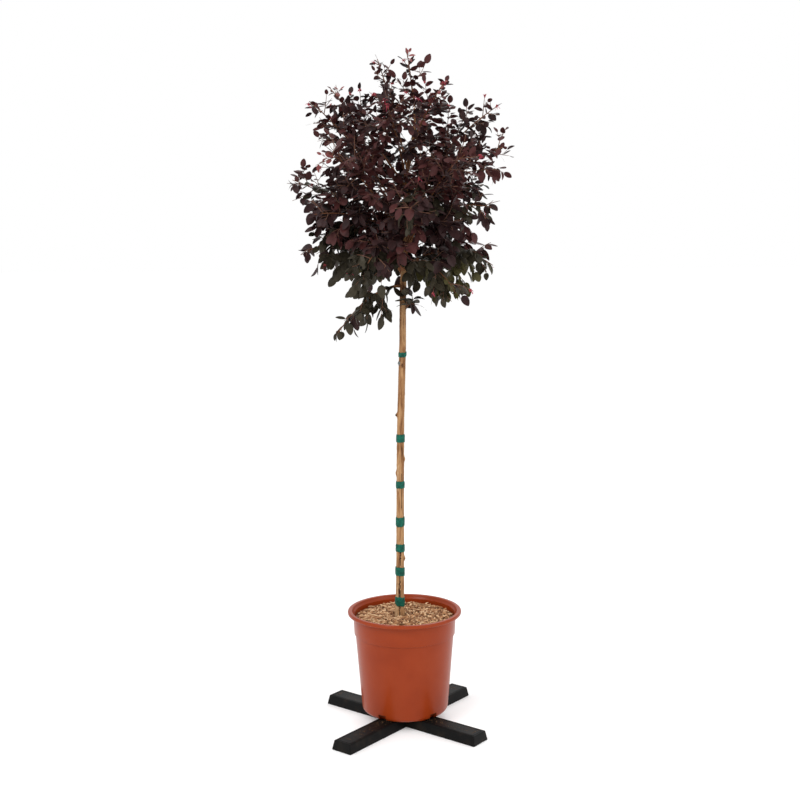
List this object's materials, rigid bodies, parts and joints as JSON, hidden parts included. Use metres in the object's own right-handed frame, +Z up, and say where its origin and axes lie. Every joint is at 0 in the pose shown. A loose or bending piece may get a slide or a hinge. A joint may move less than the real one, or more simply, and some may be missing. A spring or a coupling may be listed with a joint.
{
  "type": "potted chinese fringe flower standard tree",
  "caption": "Potted Chinese fringe flower grown as a small standard tree: clear stem, open round purple crown, terracotta coloured pot, black cross stand.",
  "frame": {"origin": "on the floor under the pot's axis, on the flat underside of the cross stand", "axes": "+Z up along the pot's axis, +X to the right seen from the front, +Y to the back"},
  "size_m": [0.5944, 0.5695, 1.8565],
  "materials": {
    "stand": "satin black moulded plastic with brown dust",
    "pot": "satin terracotta coloured moulded plastic",
    "compost": "dark damp compost",
    "mulch": "dry pale and brown wood chips",
    "bark": "tan to reddish brown bark with scars",
    "band": "dark teal green stretch tie band",
    "foliage": "dark purple to green brown leaves with pink red buds"
  },
  "bodies": {
    "root": {"band_1": "band", "band_2": "band", "band_3": "band", "band_4": "band", "band_5": "band", "band_6": "band", "band_7": "band", "bough_hanging_left": "bark", "bough_high_back_left": "bark", "bough_high_back_right": "bark", "bough_high_front": "bark", "bough_high_left": "bark", "bough_high_right": "bark", "bough_leader_left": "bark", "bough_leader_right": "bark", "bough_low_back_left": "bark", "bough_low_back_right": "bark", "bough_low_front": "bark", "bough_low_front_right": "bark", "bough_low_left": "bark", "bough_low_right": "bark", "bough_mid_back_left": "bark", "bough_mid_back_right": "bark", "bough_mid_front_left": "bark", "bough_mid_front_right": "bark", "bough_mid_left": "bark", "bough_mid_right": "bark", "compost": "compost", "foliage_hanging_left": "foliage", "foliage_high_back_left": "foliage", "foliage_high_back_right": "foliage", "foliage_high_front": "foliage", "foliage_high_left": "foliage", "foliage_high_right": "foliage", "foliage_inner_back": "foliage", "foliage_inner_front": "foliage", "foliage_inner_left": "foliage", "foliage_inner_right": "foliage", "foliage_leader_left": "foliage", "foliage_leader_right": "foliage", "foliage_low_back_left": "foliage", "foliage_low_back_right": "foliage", "foliage_low_front": "foliage", "foliage_low_front_right": "foliage", "foliage_low_left": "foliage", "foliage_low_right": "foliage", "foliage_mid_back_left": "foliage", "foliage_mid_back_right": "foliage", "foliage_mid_front_left": "foliage", "foliage_mid_front_right": "foliage", "foliage_mid_left": "foliage", "foliage_mid_right": "foliage", "foliage_side_shoot": "foliage", "foliage_top": "foliage", "mulch": "mulch", "pot": "pot", "stand_bar_lower": "stand", "stand_bar_upper": "stand", "trunk": "bark"}
  },
  "joints": []
}
